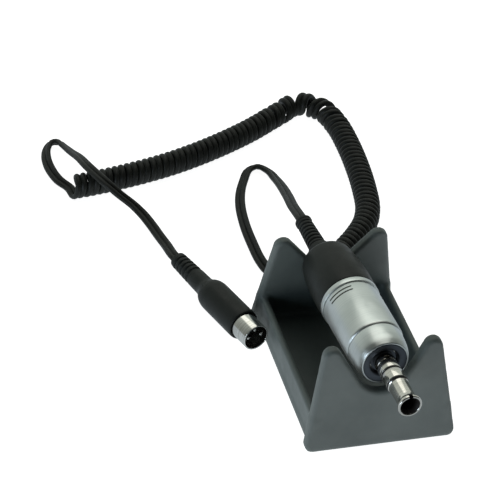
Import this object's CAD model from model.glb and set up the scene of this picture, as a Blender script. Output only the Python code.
"""Looks of a dental lab micromotor lying in its cradle, with a curly cord and a round plug.

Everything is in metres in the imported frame: +Z is up and the motor's nose points to -Y.
"""

import math

import bmesh
import bpy
import numpy as np
from mathutils import Matrix, Vector


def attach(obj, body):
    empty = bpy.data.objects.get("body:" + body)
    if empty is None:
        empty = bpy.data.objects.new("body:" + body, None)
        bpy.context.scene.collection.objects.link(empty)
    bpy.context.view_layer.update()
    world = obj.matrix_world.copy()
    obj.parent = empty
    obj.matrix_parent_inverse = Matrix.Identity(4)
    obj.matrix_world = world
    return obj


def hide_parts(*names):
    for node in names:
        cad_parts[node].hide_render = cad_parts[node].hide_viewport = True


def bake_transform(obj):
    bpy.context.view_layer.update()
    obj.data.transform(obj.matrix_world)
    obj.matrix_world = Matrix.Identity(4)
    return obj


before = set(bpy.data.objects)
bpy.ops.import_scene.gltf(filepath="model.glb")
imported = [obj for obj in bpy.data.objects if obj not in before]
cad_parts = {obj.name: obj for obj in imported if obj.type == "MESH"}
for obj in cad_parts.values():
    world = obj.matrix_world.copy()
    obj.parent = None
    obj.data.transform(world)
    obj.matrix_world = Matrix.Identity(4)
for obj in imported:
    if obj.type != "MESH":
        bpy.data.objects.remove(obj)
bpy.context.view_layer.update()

mm = 0.001
degree = math.pi / 180.0

# The motor's axis and the places along it, nose positive, as in the CAD
motor_yaw = 3.7 * degree
motor_point = Vector((-1.24, 0.0, 39.4)) * mm
motor_forward = Vector((math.sin(motor_yaw), -math.cos(motor_yaw), 0.0))
motor_right = Vector((math.cos(motor_yaw), math.sin(motor_yaw), 0.0))
plug_yaw = 18.5 * degree
plug_point = Vector((-38.4, 24.5, 7.85)) * mm
plug_forward = Vector((math.sin(plug_yaw), -math.cos(plug_yaw), 0.0))
plug_right = Vector((math.cos(plug_yaw), math.sin(plug_yaw), 0.0))
upward = Vector((0.0, 0.0, 1.0))

# Routes of the cord, in millimetres, as in the CAD; the last number is the cord's tilt in degrees
motor_lead_route = [
    (-5.2, 88.0, 35.0, 0), (-1.8, 109.5, 26.5, 0), (1.4, 131.3, 17.5, -6),
    (3.6, 151.5, 9.0, -18), (3.6, 166.0, 4.2, -30), (0.0, 173.6, 2.5, -36),
    (-5.3, 171.4, 2.35, -36), (-10.4, 162.0, 2.35, -34), (-14.8, 151.0, 2.35, -32),
    (-17.7, 138.7, 2.35, -30), (-19.4, 122.0, 2.35, -28), (-19.6, 106.7, 2.3, -26),
    (-18.9, 91.0, 2.2, -24), (-16.6, 82.0, 2.2, -22), (-11.0, 78.2, 2.1, -20),
    (-4.6, 81.0, 1.9, -12), (1.2, 85.6, 1.8, -5), (6.6, 86.8, 1.7, 0),
]
curly_route = [
    (15.0, 79.0), (23.0, 87.5), (31.5, 97.0), (39.5, 108.5), (44.5, 121.0), (47.5, 137.0),
    (49.7, 156.0), (51.0, 181.0), (50.3, 201.0), (46.0, 217.0), (35.0, 224.0), (20.5, 215.0),
    (2.0, 202.0), (-20.0, 189.5), (-42.0, 179.5), (-60.0, 173.5), (-80.0, 168.5), (-99.0, 165.0),
]
plug_lead_route = [
    (-104.4, 179.5, 1.8, 8), (-107.0, 190.0, 2.1, 20), (-107.4, 200.5, 2.4, 34),
    (-105.8, 208.5, 2.6, 44), (-102.4, 213.8, 2.9, 48), (-99.0, 213.0, 3.4, 46),
    (-97.0, 206.5, 4.8, 38), (-95.3, 195.5, 8.2, 24), (-93.2, 181.5, 13.0, 10),
    (-91.2, 168.4, 16.0, 0), (-88.2, 159.0, 16.6, 0), (-84.8, 152.2, 15.8, 0),
    (-78.6, 146.6, 11.4, 0), (-73.4, 142.7, 8.0, 0), (-69.3, 137.2, 5.4, 0),
    (-66.4, 129.0, 4.0, 0), (-64.4, 119.0, 3.8, 0), (-62.9, 109.0, 4.8, 0),
]


# Sizes of the curly cord and of the twin cord's section, in millimetres
curl_centre_height, curl_centre_radius, curl_pitch = 6.55, 4.9, 7.0
kink_at, kink_reach, kink_spread = (39.0, 221.0), 22.0, 0.6
lead_bend_out = 6.9
lead_half_width, lead_half_thick = 2.8, 1.4
curl_extra_width, curl_extra_thick = 0.55, 0.2
groove_depth_left = 0.36


# Shared helpers

def along(outline):
    """Points of an outline of (radius, place, round) corners, each rounded off by a small arc."""
    done = []
    count = len(outline)
    for index, (radius, place, trim) in enumerate(outline):
        here = np.array((radius, place))
        before = np.array(outline[index - 1][:2])
        after = np.array(outline[(index + 1) % count][:2])
        if trim == 0.0:
            done.append(here)
            continue
        back, ahead = before - here, after - here
        span_back, span_ahead = np.linalg.norm(back), np.linalg.norm(ahead)
        cut = min(trim, 0.49 * span_back, 0.49 * span_ahead)
        start = here + back / span_back * cut
        end = here + ahead / span_ahead * cut
        steps = 5 if trim > 0.6 else 3
        for step in range(steps + 1):
            t = step / steps
            done.append((1 - t) ** 2 * start + 2 * t * (1 - t) * here + t * t * end)
    return done


def make_object(name, mesh, material, sharp=35.0):
    made = bpy.data.objects.new(name, mesh)
    bpy.context.scene.collection.objects.link(made)
    mesh.shade_smooth()
    mesh.set_sharp_from_angle(angle=sharp * degree)
    mesh.materials.append(material)
    return made


def from_bmesh(name, body, material, sharp=35.0):
    bmesh.ops.recalc_face_normals(body, faces=body.faces)
    mesh = bpy.data.meshes.new(name)
    body.to_mesh(mesh)
    body.free()
    return make_object(name, mesh, material, sharp)


def lathe_body(outline, sides, point, forward, right):
    """Spin (radius, place) pairs, in millimetres, about an axis that lies in the frame."""
    body = bmesh.new()
    rings = []
    for radius, place in outline:
        centre = point + forward * place * mm
        if radius < 1e-6:
            rings.append([body.verts.new(centre)])
            continue
        ring = []
        for index in range(sides):
            angle = 2 * math.pi * index / sides
            out = right * math.cos(angle) + upward * math.sin(angle)
            ring.append(body.verts.new(centre + out * radius * mm))
        rings.append(ring)
    open_ended = len(rings[0]) == 1 and len(rings[-1]) == 1
    pairs = list(zip(rings, rings[1:]))
    if not open_ended:
        pairs.append((rings[-1], rings[0]))
    for one, two in pairs:
        if len(one) == 1 and len(two) == 1:
            continue
        for index in range(sides):
            following = (index + 1) % sides
            if len(one) == 1:
                body.faces.new((one[0], two[index], two[following]))
            elif len(two) == 1:
                body.faces.new((one[index], two[0], one[following]))
            else:
                body.faces.new((one[index], two[index], two[following], one[following]))
    return body


def motor_lathe(name, outline, material, sides):
    body = lathe_body(along(outline), sides, motor_point, motor_forward, motor_right)
    return from_bmesh(name, body, material)


def plug_lathe(name, outline, material, sides):
    body = lathe_body(along(outline), sides, plug_point, plug_forward, plug_right)
    return from_bmesh(name, body, material)


def stand_for(piece, body, slot, *nodes):
    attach(piece, body)
    if nodes:
        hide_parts(*nodes)
    return piece


def carve(target, low, high, turn):
    """Cut a box out of a piece. The box is in the turn's own axes, in millimetres."""
    cutter_body = bmesh.new()
    low, high = Vector(low) * mm, Vector(high) * mm
    size = high - low
    matrix = turn @ Matrix.Translation((low + high) / 2) @ Matrix.Diagonal((*size, 1.0))
    bmesh.ops.create_cube(cutter_body, size=1.0, matrix=matrix)
    mesh = bpy.data.meshes.new("cutter")
    cutter_body.to_mesh(mesh)
    cutter_body.free()
    cutter = bpy.data.objects.new("cutter", mesh)
    bpy.context.scene.collection.objects.link(cutter)
    modifier = target.modifiers.new("cut", "BOOLEAN")
    modifier.operation = "DIFFERENCE"
    modifier.solver = "EXACT"
    modifier.object = cutter
    bpy.context.view_layer.update()
    whole = target.evaluated_get(bpy.context.evaluated_depsgraph_get())
    cut_mesh = bpy.data.meshes.new_from_object(whole)
    target.modifiers.remove(modifier)
    target.data = cut_mesh
    target.data.set_sharp_from_angle(angle=35 * degree)
    bpy.data.objects.remove(cutter)


def darken(piece, material, radius, start, end):
    """Give another look to the faces of a motor piece inside a radius, between two places."""
    piece.data.materials.append(material)
    last = len(piece.data.materials) - 1
    for face in piece.data.polygons:
        offset = face.center - motor_point
        place = offset.dot(motor_forward)
        inside = (offset - motor_forward * place).length < radius * mm
        if inside and start * mm < place < end * mm:
            face.material_index = last


def axis_turn(point, forward, right, angle=0.0):
    """A matrix whose Z is the axis, X its right and Y up, turned about the axis."""
    matrix = Matrix((right, upward, forward)).transposed().to_4x4()
    matrix.translation = point
    return matrix @ Matrix.Rotation(angle, 4, "Z")


# Materials

def new_material(name):
    material = bpy.data.materials.new(name)
    material.use_nodes = True
    nodes, links = material.node_tree.nodes, material.node_tree.links
    shader = nodes["Principled BSDF"]
    return material, nodes, links, shader


def noise(nodes, links, vector, scale, detail, rough):
    node = nodes.new("ShaderNodeTexNoise")
    node.inputs["Scale"].default_value = scale
    node.inputs["Detail"].default_value = detail
    node.inputs["Roughness"].default_value = rough
    links.new(vector, node.inputs["Vector"])
    return node.outputs["Fac"]


def ramp(nodes, links, value, stops):
    node = nodes.new("ShaderNodeValToRGB")
    while len(node.color_ramp.elements) < len(stops):
        node.color_ramp.elements.new(0.5)
    for element, (place, colour) in zip(node.color_ramp.elements, stops):
        element.position = place
        element.color = (*colour, 1.0)
    links.new(value, node.inputs["Fac"])
    return node.outputs["Color"]


def spread(nodes, links, value, low, high):
    node = nodes.new("ShaderNodeMapRange")
    node.inputs["From Min"].default_value = 0.3
    node.inputs["From Max"].default_value = 0.7
    node.inputs["To Min"].default_value = low
    node.inputs["To Max"].default_value = high
    links.new(value, node.inputs["Value"])
    return node.outputs["Result"]


def add_bump(nodes, links, shader, height, strength, distance):
    node = nodes.new("ShaderNodeBump")
    node.inputs["Strength"].default_value = strength
    node.inputs["Distance"].default_value = distance
    links.new(height, node.inputs["Height"])
    links.new(node.outputs["Normal"], shader.inputs["Normal"])


def position(nodes):
    return nodes.new("ShaderNodeTexCoord").outputs["Object"]


def plastic(name, dark, light, rough, grain=0.00006, grain_scale=1400.0, cloud=40.0, shine=0.4):
    """Moulded plastic or rubber: a fine grain, cloudy colour, and a little wear in the gloss."""
    material, nodes, links, shader = new_material(name)
    where = position(nodes)
    clouds = noise(nodes, links, where, cloud, 4.0, 0.6)
    links.new(ramp(nodes, links, clouds, [(0.3, dark), (0.72, light)]), shader.inputs["Base Color"])
    wear = noise(nodes, links, where, cloud * 6, 3.0, 0.55)
    links.new(spread(nodes, links, wear, rough - 0.05, rough + 0.07), shader.inputs["Roughness"])
    fine = noise(nodes, links, where, grain_scale, 2.0, 0.5)
    add_bump(nodes, links, shader, fine, 0.5, grain)
    shader.inputs["Specular IOR Level"].default_value = shine
    return material


def turned_metal(name, dark, light, rough, forward, line_scale, streak=0.00001, anisotropy=0.5):
    """Metal with the fine rings that a lathe leaves, and soft stains."""
    material, nodes, links, shader = new_material(name)
    where = position(nodes)
    dot = nodes.new("ShaderNodeVectorMath")
    dot.operation = "DOT_PRODUCT"
    dot.inputs[1].default_value = forward
    links.new(where, dot.inputs[0])
    rings = nodes.new("ShaderNodeTexNoise")
    rings.noise_dimensions = "1D"
    rings.inputs["Scale"].default_value = line_scale
    rings.inputs["Detail"].default_value = 5.0
    rings.inputs["Roughness"].default_value = 0.7
    links.new(dot.outputs["Value"], rings.inputs["W"])
    stains = noise(nodes, links, where, 90.0, 3.0, 0.5)
    mix = nodes.new("ShaderNodeMath")
    mix.operation = "MULTIPLY_ADD"
    links.new(stains, mix.inputs[0])
    mix.inputs[1].default_value = 0.5
    half = nodes.new("ShaderNodeMath")
    half.operation = "MULTIPLY"
    links.new(rings.outputs["Fac"], half.inputs[0])
    half.inputs[1].default_value = 0.5
    links.new(half.outputs[0], mix.inputs[2])
    links.new(ramp(nodes, links, mix.outputs[0], [(0.35, dark), (0.65, light)]),
              shader.inputs["Base Color"])
    links.new(spread(nodes, links, mix.outputs[0], rough - 0.05, rough + 0.05),
              shader.inputs["Roughness"])
    shader.inputs["Metallic"].default_value = 1.0
    shader.inputs["Anisotropic"].default_value = anisotropy
    add_bump(nodes, links, shader, rings.outputs["Fac"], 0.35, streak)
    return material


grey = plastic("cradle_grey", (0.058, 0.074, 0.073), (0.086, 0.107, 0.105), 0.5,
               grain=0.00005, grain_scale=1100.0, cloud=30.0)
cap_black = plastic("cap_black", (0.007, 0.009, 0.008), (0.012, 0.015, 0.014), 0.42,
                    grain=0.00004, grain_scale=1600.0, shine=0.2)
rubber = plastic("cord_rubber", (0.007, 0.008, 0.007), (0.012, 0.014, 0.012), 0.42,
                 grain=0.00003, grain_scale=900.0, cloud=60.0, shine=0.2)
boot_rubber = plastic("boot_rubber", (0.008, 0.010, 0.009), (0.014, 0.017, 0.016), 0.5,
                      grain=0.00004, grain_scale=1300.0, shine=0.2)
ring_rubber = plastic("ring_rubber", (0.010, 0.010, 0.010), (0.018, 0.018, 0.018), 0.4)
silver = turned_metal("satin_silver", (0.52, 0.56, 0.55), (0.66, 0.69, 0.68), 0.36,
                      motor_forward, 1500.0, anisotropy=0.55)
chrome = turned_metal("nose_chrome", (0.50, 0.48, 0.44), (0.72, 0.70, 0.66), 0.16,
                      motor_forward, 900.0, anisotropy=0.3)
plug_chrome = turned_metal("plug_chrome", (0.52, 0.51, 0.48), (0.78, 0.77, 0.74), 0.14,
                           plug_forward, 900.0, anisotropy=0.3)
steel = turned_metal("inner_steel", (0.42, 0.42, 0.43), (0.6, 0.6, 0.61), 0.3, motor_forward, 1200.0)
copper = turned_metal("copper_wire", (0.6, 0.27, 0.13), (0.82, 0.42, 0.24), 0.3, motor_forward,
                      2500.0, streak=0.00004)
brass = turned_metal("brush_brass", (0.6, 0.44, 0.18), (0.8, 0.62, 0.3), 0.3, motor_forward, 1200.0)
laminated = turned_metal("laminations", (0.16, 0.16, 0.17), (0.36, 0.36, 0.38), 0.45,
                         motor_forward, 4000.0, streak=0.00006)
magnet = plastic("magnet_dark", (0.035, 0.035, 0.04), (0.07, 0.07, 0.075), 0.6)
carbon = plastic("brush_carbon", (0.014, 0.014, 0.016), (0.03, 0.03, 0.033), 0.65)
insulation = plastic("wire_red", (0.4, 0.02, 0.02), (0.52, 0.035, 0.03), 0.4)
mark_dark = plastic("mark_dark", (0.006, 0.007, 0.006), (0.012, 0.013, 0.012), 0.6)

bore_dark = plastic("bore_shadow", (0.006, 0.006, 0.005), (0.012, 0.012, 0.011), 0.5)
recess_dark = turned_metal("recess_dark", (0.05, 0.056, 0.066), (0.085, 0.095, 0.108), 0.42,
                           motor_forward, 900.0)
dog_steel = turned_metal("dog_steel", (0.03, 0.03, 0.03), (0.07, 0.07, 0.07), 0.4, motor_forward,
                         1200.0)

inner_looks = {
    "yoke_tube": steel, "magnet_1": magnet, "magnet_2": magnet, "front_bearing_carrier": silver,
    "front_bearing_outer_ring": steel, "front_bearing_inner_ring": steel,
    "front_bearing_cage": steel, "rear_bearing_outer_ring": steel,
    "rear_bearing_inner_ring": steel, "rear_bearing_cage": steel, "rear_end_bell": silver,
    "brush_holder": cap_black, "end_bell_screw_1": steel, "end_bell_screw_2": steel,
    "preload_washer": steel, "carbon_brush_1": carbon, "carbon_brush_2": carbon,
    "brush_cap_1": brass, "brush_cap_2": brass, "brush_spring_1": steel,
    "brush_spring_2": steel, "lead_wire_1": insulation, "lead_wire_2": insulation,
    "rotor_shaft": steel, "armature_core": laminated, "armature_windings": copper,
    "commutator": copper, "drive_dog": dog_steel,
}
for node_name, look in inner_looks.items():
    mesh_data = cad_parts[node_name].data
    mesh_data.materials.clear()
    mesh_data.materials.append(look)


# Camera

def set_camera():
    azimuth, elevation, roll = -15.9 * degree, 35.3 * degree, 3.4 * degree
    back = Vector((math.sin(azimuth) * math.cos(elevation),
                   -math.cos(azimuth) * math.cos(elevation), math.sin(elevation)))
    right = Vector((math.cos(azimuth), math.sin(azimuth), 0.0))
    up = back.cross(right)
    turned_right = right * math.cos(roll) + up * math.sin(roll)
    turned_up = up * math.cos(roll) - right * math.sin(roll)
    data = bpy.data.cameras.new("photo_view")
    data.lens = 158.4
    data.sensor_width = 36.0
    data.clip_start = 0.05
    camera = bpy.data.objects.new("photo_view", data)
    bpy.context.scene.collection.objects.link(camera)
    matrix = Matrix((turned_right, turned_up, back)).transposed().to_4x4()
    matrix.translation = Vector((-0.2663, -0.7564, 0.6336))
    camera.matrix_world = matrix
    bpy.context.scene.camera = camera


set_camera()


# The cord: one flat twin cord from the motor to the plug, wound into a spring in its middle

def smooth_rows(rows, steps_between):
    """A smooth curve (centripetal) through rows of numbers whose first three are a place."""
    rows = [np.array(row, float) for row in rows]
    padded = [rows[0] * 2 - rows[1]] + rows + [rows[-1] * 2 - rows[-2]]
    curve = []
    for index in range(1, len(padded) - 2):
        p0, p1, p2, p3 = padded[index - 1:index + 3]
        t1 = np.linalg.norm((p1 - p0)[:3]) ** 0.5
        t2 = t1 + np.linalg.norm((p2 - p1)[:3]) ** 0.5
        t3 = t2 + np.linalg.norm((p3 - p2)[:3]) ** 0.5
        for step in range(steps_between):
            t = t1 + (t2 - t1) * step / steps_between
            a1 = p0 + (p1 - p0) * t / t1
            a2 = p1 + (p2 - p1) * (t - t1) / (t2 - t1)
            a3 = p2 + (p3 - p2) * (t - t2) / (t3 - t2)
            b1 = a1 + (a2 - a1) * t / t2
            b2 = a2 + (a3 - a2) * (t - t1) / (t3 - t1)
            curve.append(b1 + (b2 - b1) * (t - t1) / (t2 - t1))
    curve.append(rows[-1])
    return np.array(curve)


def evenly(rows, spacing):
    reach = np.concatenate(([0.0], np.cumsum(np.linalg.norm(np.diff(rows[:, :3], axis=0), axis=1))))
    count = max(2, round(reach[-1] / spacing))
    wanted = np.linspace(0.0, reach[-1], count + 1)
    return np.stack([np.interp(wanted, reach, rows[:, k]) for k in range(rows.shape[1])], axis=1)


def curly_rows():
    """The helix: places and the direction of its middle line, in millimetres."""
    middle = [(x, y, curl_centre_height) for x, y in curly_route]
    line = evenly(smooth_rows(middle, 24), curl_pitch / 40)
    step = np.linalg.norm(np.diff(line, axis=0), axis=1)
    halves = (line[1:] + line[:-1]) / 2
    away = np.hypot(halves[:, 0] - kink_at[0], halves[:, 1] - kink_at[1])
    local_pitch = curl_pitch * (1 + kink_spread * np.exp(-(away / kink_reach) ** 2))
    phase = np.concatenate(([0.0], np.cumsum(2 * math.pi * step / local_pitch)))
    turns = round(phase[-1] / (2 * math.pi))
    phase *= 2 * math.pi * turns / phase[-1]
    wanted = np.linspace(0.0, 2 * math.pi * turns, turns * 22 + 1)
    centre = np.stack([np.interp(wanted, phase, line[:, k]) for k in range(3)], axis=1)
    ahead = np.gradient(centre, axis=0)
    ahead /= np.linalg.norm(ahead, axis=1)[:, None]
    right = np.stack([ahead[:, 1], -ahead[:, 0], np.zeros(len(ahead))], axis=1)
    up = np.array((0.0, 0.0, 1.0))
    places = centre + curl_centre_radius * (np.sin(wanted)[:, None] * right
                                            - np.cos(wanted)[:, None] * up)
    return places, ahead, right


def lead_rows(rows, spacing=2.2):
    """Places of a lead and the direction of its wide side, tilted from level by the last number."""
    curve = evenly(smooth_rows(rows, 24), spacing)
    places = curve[:, :3]
    heading = np.gradient(places, axis=0)
    flat = heading * (1.0, 1.0, 0.0)
    flat /= np.linalg.norm(flat, axis=1)[:, None]
    right = np.stack([flat[:, 1], -flat[:, 0], np.zeros(len(flat))], axis=1)
    tilt = curve[:, 3:4] * degree
    wide = np.cos(tilt) * right + np.sin(tilt) * np.array((0.0, 0.0, 1.0))
    return places, wide


def make_cord():
    curls, spine, across = curly_rows()
    start = motor_point / mm + motor_forward * -66.0
    leave = motor_point / mm + motor_forward * -72.0
    lead = [(*start, 0.0), (*leave, 0.0)] + motor_lead_route
    lead += [(*(curls[0] - lead_bend_out * across[0]), 0.0), (*curls[0], 0.0)]
    lead_places, lead_wide = lead_rows(lead)
    plug_start = plug_point / mm + plug_forward * -66.0
    plug_leave = plug_point / mm + plug_forward * -75.0
    tail = [(*curls[-1], 0.0), (*(curls[-1] + lead_bend_out * across[-1]), 0.0)] + plug_lead_route
    tail += [(*plug_leave, 0.0), (*plug_start, 0.0)]
    tail_places, tail_wide = lead_rows(tail)
    places = np.concatenate((lead_places[:-1], curls, tail_places[1:]))
    wide = np.concatenate((lead_wide[:-1], spine, tail_wide[1:]))
    curled = np.zeros(len(places))
    first, last = len(lead_places) - 1, len(lead_places) - 1 + len(curls)
    curled[first:last] = 1.0
    ease = 14
    for offset in range(1, ease):
        curled[first + offset] = curled[last - 1 - offset] = offset / ease
    curled[first] = curled[last - 1] = 0.0
    # The wide side turns from lying level to lying along the spring over its first half turn
    turn_over = 10
    for offset in range(turn_over + 1):
        share = offset / turn_over
        for index, level in ((first + offset, lead_wide[-2]), (last - 1 - offset, tail_wide[1])):
            target = spine[index - first]
            sign = 1.0 if np.dot(level, target) >= 0 else -1.0
            wide[index] = (1 - share) * level * sign + share * target
    tangent = np.gradient(places, axis=0)
    tangent /= np.linalg.norm(tangent, axis=1)[:, None]
    for index in range(1, len(wide)):
        if np.dot(wide[index], wide[index - 1]) < 0:
            wide[index:] *= -1
    wide -= np.sum(wide * tangent, axis=1)[:, None] * tangent
    wide /= np.linalg.norm(wide, axis=1)[:, None]
    thin = np.cross(tangent, wide)
    sides = twin_section()
    body = bmesh.new()
    rings = []
    for place, wide_way, thin_way, share in zip(places, wide, thin, curled):
        half_width = lead_half_width + curl_extra_width * share
        half_thick = lead_half_thick + curl_extra_thick * share
        ring = []
        for u, v in sides:
            at = place + wide_way * u * half_width + thin_way * v * half_thick
            ring.append(body.verts.new(Vector(at) * mm))
        rings.append(ring)
    count = len(sides)
    for one, two in zip(rings, rings[1:]):
        for index in range(count):
            following = (index + 1) % count
            body.faces.new((one[index], one[following], two[following], two[index]))
    body.faces.new(rings[0])
    body.faces.new(rings[-1])
    cord = from_bmesh("twin_cord", body, rubber, sharp=75.0)
    path = [Vector(place) * mm for place in places]
    length = sum((b - a).length for a, b in zip(path, path[1:]))
    return cord, path, length


def twin_section():
    """Half-size outline of two round wires side by side, with a groove between them."""
    points = []
    for side in (1, -1):
        for step in range(9):
            angle = (-118 + 236 * step / 8) * degree
            points.append((side * (0.5 + 0.5 * math.cos(angle)), side * math.sin(angle)))
        points.append((0.0, side * groove_depth_left))
    return points


cord, cord_path, cord_length = make_cord()
print("cord length: %.0f mm" % (cord_length / mm))


# The cradle, as one moulded body with soft edges

class Cradle:
    """Signed distances, in millimetres, of the leaning end walls, the rails and the floor."""
    lean = math.tan(8.1 * degree)
    wall = 5.5
    foot = (31.1, 3.5, 3.5)
    tip = (23.0, 46.0, 4.3)
    front_notch = (12.84, 40.2)
    rear_notch = (14.0, 46.68)
    inner_foot = 46.13
    edge = 1.6

    def profile(self, notch):
        radius, height = notch
        foot, tip = np.array(self.foot[:2]), np.array(self.tip[:2])
        side = tip - foot
        reach = np.linalg.norm(side)
        side_angle = math.atan2(side[1], side[0]) - math.acos((self.foot[2] - self.tip[2]) / reach)
        towards = np.array((0.0, height)) - tip
        flank = math.atan2(towards[1], towards[0]) % (2 * math.pi)
        flank -= math.acos((radius + self.tip[2]) / np.linalg.norm(towards))
        right = self.arc(foot, self.foot[2], -math.pi / 2, side_angle, 10)
        right += self.arc(tip, self.tip[2], side_angle, flank, 22)
        valley = self.arc((0.0, height), radius, flank + math.pi, 2 * math.pi - flank, 30)
        left = [(-x, z) for x, z in reversed(right)]
        return np.array(right + valley + left)

    def arc(self, centre, radius, start, end, steps):
        angles = [start + (end - start) * k / steps for k in range(steps + 1)]
        return [(centre[0] + radius * math.cos(a), centre[1] + radius * math.sin(a)) for a in angles]

    def outline_distance(self, x, z, outline):
        distance = np.full(x.shape, 1e9)
        inside = np.zeros(x.shape, bool)
        for (ax, az), (bx, bz) in zip(outline, np.roll(outline, -1, axis=0)):
            ex, ez = bx - ax, bz - az
            length = ex * ex + ez * ez
            if length < 1e-12:
                continue
            share = np.clip(((x - ax) * ex + (z - az) * ez) / length, 0.0, 1.0)
            gap = (x - ax - share * ex) ** 2 + (z - az - share * ez) ** 2
            distance = np.minimum(distance, gap)
            crosses = (az > z) != (bz > z)
            if az != bz:
                inside ^= crosses & (x < ax + (z - az) / (bz - az) * (bx - ax))
        distance = np.sqrt(distance)
        return np.where(inside, -distance, distance)

    def box(self, x, y, z, centre, half, rounding):
        gx = np.abs(x - centre[0]) - half[0] + rounding
        gy = np.abs(y - centre[1]) - half[1] + rounding
        gz = np.abs(z - centre[2]) - half[2] + rounding
        outside = np.sqrt(np.maximum(gx, 0) ** 2 + np.maximum(gy, 0) ** 2 + np.maximum(gz, 0) ** 2)
        return outside + np.minimum(np.maximum(np.maximum(gx, gy), gz), 0.0) - rounding

    def blend(self, a, b, width):
        share = np.maximum(width - np.abs(a - b), 0.0) / width
        return np.minimum(a, b) - share ** 2 * width / 4

    def both(self, a, b, rounding):
        u, v = np.maximum(rounding + a, 0.0), np.maximum(rounding + b, 0.0)
        return np.minimum(-rounding, np.maximum(a, b)) + np.sqrt(u * u + v * v)

    def distance(self, x, y, z, profiles):
        slab_place = np.abs(y) - self.inner_foot + self.lean * z
        slab = np.abs(slab_place - self.wall / 2) - self.wall / 2
        slab = slab * math.cos(8.1 * degree)
        outline = np.where(y < 0, profiles[0], profiles[1])
        walls = self.both(outline, slab, self.edge)
        tray_end = self.inner_foot + 1.8
        floor = self.box(x, y, z, (0, 0, 1.5), (31.3, tray_end, 1.5), 1.1)
        rail = self.box(np.abs(x), y, z, (29.7, 0, 8.1), (1.6, tray_end, 8.1), 1.25)
        tray = self.blend(floor, rail, 2.4)
        whole = self.blend(walls, tray, 3.2)
        return self.both(whole, -z, 0.7)

    def at_points(self, points):
        x, y, z = points.T
        profiles = [self.outline_distance(x, z, outline) for outline in self.outlines]
        return self.distance(x, y, z, profiles)

    def mesh(self, cell=0.9):
        self.outlines = [self.profile(self.front_notch), self.profile(self.rear_notch)]
        xs = np.arange(-37.0, 37.0 + cell, cell)
        ys = np.arange(-54.5, 54.5 + cell, cell)
        zs = np.arange(-1.5, 53.0 + cell, cell)
        flat_x, flat_z = np.meshgrid(xs, zs, indexing="ij")
        profiles = [self.outline_distance(flat_x, flat_z, outline)[:, None, :]
                    for outline in self.outlines]
        x, y, z = np.meshgrid(xs, ys, zs, indexing="ij", sparse=True)
        values = self.distance(x, y, z, profiles)
        verts, faces = surface_nets(values, (xs, ys, zs))
        for _ in range(4):
            value = self.at_points(verts)
            slope = np.stack([
                self.at_points(verts + step) - self.at_points(verts - step)
                for step in np.eye(3) * 0.05], axis=1) / 0.1
            size = np.maximum(np.sum(slope ** 2, axis=1), 0.2)
            verts = verts - np.clip(value / size, -0.4, 0.4)[:, None] * slope
        mesh = bpy.data.meshes.new("moulded_cradle")
        mesh.from_pydata((verts * mm).tolist(), [], faces.tolist())
        mesh.update()
        return mesh


def surface_nets(values, axes):
    """Quads round the zero level of a grid: one point in each cell that the surface crosses."""
    inside = values < 0
    corners = [(i, j, k) for i in (0, 1) for j in (0, 1) for k in (0, 1)]
    size = [n - 1 for n in values.shape]

    def part(array, corner):
        i, j, k = corner
        return array[i:i + size[0], j:j + size[1], k:k + size[2]]

    total = sum(part(inside, corner).astype(int) for corner in corners)
    crossed = (total > 0) & (total < 8)
    number = np.full(crossed.shape, -1)
    number[crossed] = np.arange(crossed.sum())
    cells = np.argwhere(crossed)
    add, count = np.zeros((len(cells), 3)), np.zeros((len(cells), 1))
    for a in corners:
        for b in corners:
            if sum(abs(p - q) for p, q in zip(a, b)) != 1 or a > b:
                continue
            va = values[tuple((cells + a).T)]
            vb = values[tuple((cells + b).T)]
            cut = (va < 0) != (vb < 0)
            share = np.where(cut, va / np.where(cut, va - vb, 1.0), 0.0)[:, None]
            place = np.array(a) + share * (np.array(b) - np.array(a))
            add += np.where(cut[:, None], place, 0.0)
            count += cut[:, None]
    origin = np.array([axis[0] for axis in axes])
    spacing = axes[0][1] - axes[0][0]
    verts = origin + spacing * (cells + add / count)
    faces = []
    for axis in range(3):
        u, v = (axis + 1) % 3, (axis + 2) % 3
        low = [slice(0, n) for n in values.shape]
        high = [slice(0, n) for n in values.shape]
        low[axis] = slice(0, values.shape[axis] - 1)
        high[axis] = slice(1, values.shape[axis])
        change = inside[tuple(low)] != inside[tuple(high)]
        found = np.argwhere(change)
        found = found[(found[:, u] > 0) & (found[:, v] > 0)]
        found = found[(found[:, u] < size[u]) & (found[:, v] < size[v])]
        step_u, step_v = np.eye(3, dtype=int)[u], np.eye(3, dtype=int)[v]
        quad = [number[tuple((found - a * step_u - b * step_v).T)]
                for a, b in ((1, 1), (0, 1), (0, 0), (1, 0))]
        quad = np.stack(quad, axis=1)
        flip = ~inside[tuple(found.T)]
        quad[flip] = quad[flip][:, ::-1]
        faces.append(quad)
    return verts, np.concatenate(faces)


cradle = make_object("moulded_cradle", Cradle().mesh(), grey, sharp=180.0)
stand_for(cradle, "cradle", "grey_plastic", "cradle")


# Motor shells. Each outline is (radius, place along the axis, size of the corner's arc)
sleeve_radius = 13.4
mark_depth, mark_height = 0.1, 0.02

sleeve = motor_lathe("motor_sleeve", [
    (12.4, 30.65, 0), (12.85, 30.65, 0.25), (sleeve_radius, 29.7, 0.6),
    (sleeve_radius, -0.45, 0.2), (12.4, -0.45, 0),
], silver, 128)
stand_for(sleeve, "handpiece", "satin_aluminium", "body_sleeve")

ring = motor_lathe("motor_rear_ring", [
    (12.4, -0.7, 0), (13.9, -0.7, 0.35), (13.9, -3.7, 0.35), (12.4, -3.7, 0),
], silver, 128)
stand_for(ring, "handpiece", "satin_aluminium", "rear_ring")

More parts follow.
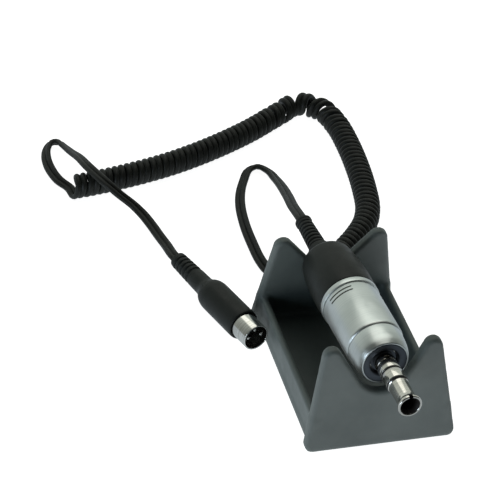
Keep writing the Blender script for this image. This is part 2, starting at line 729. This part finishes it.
collar = motor_lathe("nose_collar", [
    (11.7, 30.75, 0), (12.9, 30.75, 0.4), (12.65, 34.7, 1.0), (12.35, 38.0, 1.4),
    (11.95, 40.2, 1.0), (10.95, 42.6, 0.5), (10.7, 42.9, 0.2), (10.25, 42.9, 0.12),
    (10.2, 42.5, 0), (9.95, 42.5, 0), (9.9, 42.85, 0.12), (7.2, 42.45, 0.5), (6.6, 41.8, 0.4),
    (6.2, 40.3, 0), (6.2, 39.4, 0), (11.2, 39.4, 0), (11.7, 38.9, 0),
], silver, 128)
darken(collar, recess_dark, 10.22, 39.3, 60.0)
stand_for(collar, "handpiece", "satin_aluminium", "front_collar")

cap = motor_lathe("motor_cap", [
    (13.75, -4.0, 0.3), (14.1, -10.0, 3.0), (14.05, -16.5, 3.0), (13.5, -25.0, 3.0),
    (13.05, -29.8, 2.0), (12.35, -34.3, 0.8), (11.3, -36.3, 1.0), (5.6, -36.3, 0.3),
    (5.6, -34.9, 0), (10.4, -34.9, 0), (11.0, -34.2, 0), (11.65, -29.8, 0),
    (12.1, -25.0, 0), (12.65, -16.5, 0), (12.35, -4.0, 0),
], cap_black, 128)
stand_for(cap, "handpiece", "black_plastic", "rear_cap")


def boot_outline():
    points = [(0.0, -33.1, 0), (6.8, -33.1, 0), (6.8, -34.6, 0), (5.3, -34.6, 0.0),
              (5.3, -46.0, 0.5)]
    ribs, start, end = 8, -46.3, -67.4
    pitch = (end - start) / ribs
    for rib in range(ribs):
        radius = 4.45 - 0.7 * rib / ribs
        place = start + pitch * rib
        points += [(radius - 0.6, place, 0.25), (radius - 0.6, place + 0.3 * pitch, 0.25),
                   (radius, place + 0.42 * pitch, 0.35), (radius - 0.05, place + 0.98 * pitch, 0.35)]
    points += [(4.1, -67.5, 0.2), (4.1, -69.0, 0.4), (0.0, -69.0, 0)]
    return points


boot = motor_lathe("ribbed_boot", boot_outline(), boot_rubber, 64)
stand_for(boot, "handpiece", "black_rubber", "strain_relief")


def make_mark(name, place, width, start, end):
    """A thin dark mark across the top of the sleeve, with round ends, for a shallow groove."""
    body = bmesh.new()
    steps = 40
    rows = []
    for step in range(steps + 1):
        share = step / steps
        angle = (start + (end - start) * share) * degree
        nearness = min(share, 1 - share) * (end - start) * degree * sleeve_radius / (width / 2)
        half = width / 2 * math.sqrt(max(0.02, 1 - max(0.0, 1 - nearness) ** 2))
        out = motor_right * math.cos(angle) + upward * math.sin(angle)
        row = []
        low, high = sleeve_radius - mark_depth, sleeve_radius + mark_height
        for side, radius in ((-1, low), (-1, high), (1, high), (1, low)):
            at = motor_point + motor_forward * (place + side * half) * mm + out * radius * mm
            row.append(body.verts.new(at))
        rows.append(row)
    for one, two in zip(rows, rows[1:]):
        for index in range(4):
            following = (index + 1) % 4
            body.faces.new((one[index], one[following], two[following], two[index]))
    body.faces.new(rows[0])
    body.faces.new(rows[-1])
    mark = from_bmesh(name, body, mark_dark)
    return stand_for(mark, "handpiece", "satin_aluminium")


make_mark("sleeve_groove_1", 1.9, 0.8, 99, 152)
make_mark("sleeve_groove_2", 4.2, 0.8, 99, 152)

nose = motor_lathe("chrome_nose", [
    (2.7, 38.0, 0), (10.6, 38.0, 0), (10.6, 39.1, 0), (5.9, 39.1, 0), (5.9, 40.3, 0),
    (3.7, 40.3, 0), (3.7, 45.7, 0), (4.9, 45.7, 0.8), (4.9, 50.65, 0.1), (4.0, 50.7, 0),
    (4.0, 51.9, 0), (4.9, 51.95, 0.1), (4.9, 57.65, 0.1), (4.0, 57.7, 0), (4.0, 58.9, 0),
    (4.8, 58.95, 0.1), (4.4, 59.4, 0.3), (4.4, 69.6, 1.6),
    (4.9, 71.3, 1.0), (5.5, 72.1, 0.5), (5.5, 73.2, 0.4), (5.2, 73.7, 0.25),
    (4.55, 73.7, 0.3), (3.7, 71.0, 0.8), (3.55, 59.2, 0), (2.7, 59.2, 0),
], chrome, 96)
carve(nose, (-0.9, 0.0, 70.5), (0.9, 6.9, 75.0), axis_turn(motor_point, motor_forward, motor_right))
darken(nose, recess_dark, 6.4, 38.9, 40.9)
darken(nose, bore_dark, 4.3, 60.0, 80.0)
stand_for(nose, "handpiece", "chrome", "nose_spigot")

lock = motor_lathe("slotted_lock_ring", [
    (4.0, 40.6, 0), (4.8, 40.6, 0.3), (4.8, 45.4, 0.5), (4.0, 45.4, 0.15),
], chrome, 96)
for quarter in range(2):
    turn = axis_turn(motor_point, motor_forward, motor_right, quarter * math.pi / 2)
    carve(lock, (-5.8, -1.1, 43.4), (5.8, 1.1, 46.4), turn)
stand_for(lock, "handpiece", "chrome", "lock_ring")

for ring_name, node, place in (("nose_seal_rear", "o_ring_rear", 51.3),
                               ("nose_seal_front", "o_ring_front", 58.3)):
    section = [(4.57 + 0.5 * math.cos(2 * math.pi * k / 12),
                place + 0.52 * math.sin(2 * math.pi * k / 12), 0) for k in range(12)]
    seal = motor_lathe(ring_name, section, ring_rubber, 72)
    stand_for(seal, "handpiece", "black_rubber", node)


# Plug. Its places run back from the shell's open end

shell = plug_lathe("plug_shell_round", [
    (6.0, -16.9, 0), (6.6, -16.9, 0), (6.6, 0.0, 0.12), (6.0, 0.0, 0.12),
], plug_chrome, 96)
stand_for(shell, "cradle", "chrome", "plug_shell")


def plug_grip_outline():
    points = [
        (6.9, -17.2, 0), (6.9, -10.9, 0.25), (7.6, -10.9, 0.4), (7.8, -12.2, 0.6),
        (7.8, -37.6, 2.0), (7.1, -40.8, 1.6), (5.5, -43.3, 1.6), (4.95, -45.6, 0.8),
        (4.75, -54.5, 0.8),
    ]
    ribs, start, end = 5, -55.0, -69.3
    pitch = (end - start) / ribs
    for rib in range(ribs):
        radius = 4.7 - 0.5 * rib / ribs
        place = start + pitch * rib
        points += [(radius - 0.6, place, 0.25), (radius - 0.6, place + 0.3 * pitch, 0.25),
                   (radius, place + 0.42 * pitch, 0.4), (radius, place + 0.98 * pitch, 0.4)]
    points += [(4.1, -69.4, 0.2), (4.1, -70.9, 0.4), (0.0, -70.9, 0), (0.0, -17.2, 0)]
    return points


grip = plug_lathe("plug_grip_moulded", plug_grip_outline(), cap_black, 72)
stand_for(grip, "cradle", "black_plastic", "plug_grip")

insert = plug_lathe("plug_insert_round", [
    (0.0, -16.3, 0), (5.7, -16.3, 0), (5.7, -8.6, 0.2), (0.0, -8.6, 0),
], cap_black, 72)
stand_for(insert, "cradle", "black_plastic", "plug_insert")
for index, angle in enumerate((0.0, math.pi / 2, math.pi)):
    out = plug_right * math.cos(angle) + upward * math.sin(angle)
    centre = plug_point + out * 3.5 * mm
    outline = along([(0.0, -13.0, 0), (0.75, -13.0, 0), (0.75, -1.2, 0.5), (0.0, -1.1, 0)])
    body = lathe_body(outline, 24, centre, plug_forward, plug_right)
    pin = from_bmesh("plug_contact_%d" % (index + 1), body, plug_chrome)
    stand_for(pin, "cradle", "chrome", "plug_pin_%d" % (index + 1))


# The cord's facts
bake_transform(cord)
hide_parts("cord_motor_lead", "curly_cord", "cord_plug_lead")


# Floor, light and film

def make_floor():
    """A floor that is white to the camera, soft blue-grey in reflections, and lights from below."""
    material, nodes, links, shader = new_material("white_floor")
    shader.inputs["Base Color"].default_value = (0.62, 0.62, 0.62, 1.0)
    shader.inputs["Roughness"].default_value = 0.9
    shader.inputs["Specular IOR Level"].default_value = 0.0
    glow = nodes.new("ShaderNodeEmission")
    glow.inputs["Strength"].default_value = 0.95
    seen = nodes.new("ShaderNodeAddShader")
    links.new(shader.outputs[0], seen.inputs[0])
    links.new(glow.outputs[0], seen.inputs[1])
    bounce = nodes.new("ShaderNodeEmission")
    bounce.inputs["Strength"].default_value = 2.15
    mirrored = nodes.new("ShaderNodeEmission")
    mirrored.inputs["Color"].default_value = (0.84, 0.94, 1.0, 1.0)
    mirrored.inputs["Strength"].default_value = 0.58
    path = nodes.new("ShaderNodeLightPath")
    unseen = nodes.new("ShaderNodeMixShader")
    links.new(path.outputs["Is Glossy Ray"], unseen.inputs["Fac"])
    links.new(bounce.outputs[0], unseen.inputs[1])
    links.new(mirrored.outputs[0], unseen.inputs[2])
    choice = nodes.new("ShaderNodeMixShader")
    links.new(path.outputs["Is Camera Ray"], choice.inputs["Fac"])
    links.new(unseen.outputs[0], choice.inputs[1])
    links.new(seen.outputs[0], choice.inputs[2])
    links.new(choice.outputs[0], nodes["Material Output"].inputs["Surface"])
    mesh = bpy.data.meshes.new("floor")
    mesh.from_pydata([(-4, -4, 0), (4, -4, 0), (4, 4, 0), (-4, 4, 0)], [], [(0, 1, 2, 3)])
    floor = bpy.data.objects.new("floor", mesh)
    bpy.context.scene.collection.objects.link(floor)
    mesh.materials.append(material)


def add_light(name, place, target, size, energy, colour):
    data = bpy.data.lights.new(name, "AREA")
    data.shape = "SQUARE"
    data.size = size
    data.energy = energy
    data.color = colour
    light = bpy.data.objects.new(name, data)
    bpy.context.scene.collection.objects.link(light)
    place, target = Vector(place), Vector(target)
    light.matrix_world = (Matrix.Translation(place)
                          @ (target - place).to_track_quat("-Z", "Y").to_matrix().to_4x4())


def set_world():
    """Bright paper behind the object, a dark room in front of it, and white for the camera."""
    world = bpy.data.worlds.new("studio")
    bpy.context.scene.world = world
    world.use_nodes = True
    nodes, links = world.node_tree.nodes, world.node_tree.links
    back = nodes["Background"]
    parts = nodes.new("ShaderNodeSeparateXYZ")
    links.new(nodes.new("ShaderNodeTexCoord").outputs["Generated"], parts.inputs[0])
    slide = nodes.new("ShaderNodeMapRange")
    slide.inputs["From Min"].default_value = -0.1
    slide.inputs["From Max"].default_value = 0.75
    slide.interpolation_type = "SMOOTHSTEP"
    links.new(parts.outputs["Y"], slide.inputs["Value"])
    links.new(ramp(nodes, links, slide.outputs["Result"],
                   [(0.0, (0.028, 0.030, 0.028)), (1.0, (0.62, 0.67, 0.62))]), back.inputs["Color"])
    white = nodes.new("ShaderNodeBackground")
    white.inputs["Strength"].default_value = 1.0
    path = nodes.new("ShaderNodeLightPath")
    choice = nodes.new("ShaderNodeMixShader")
    links.new(path.outputs["Is Camera Ray"], choice.inputs["Fac"])
    links.new(back.outputs[0], choice.inputs[1])
    links.new(white.outputs[0], choice.inputs[2])
    links.new(choice.outputs[0], nodes["World Output"].inputs["Surface"])


make_floor()
set_world()
add_light("left_box", (-0.55, -0.26, 0.14), (-0.03, -0.03, 0.02), 0.25, 1.0, (0.74, 0.87, 1.0))
add_light("top_box", (0.1, 0.4, 1.1), (0, 0.05, 0.0), 1.1, 3.6, (1.0, 0.99, 0.92))
scene = bpy.context.scene
scene.view_settings.view_transform = "Standard"
scene.view_settings.look = "None"
scene.view_settings.exposure = 0.0
scene.view_settings.gamma = 1.0
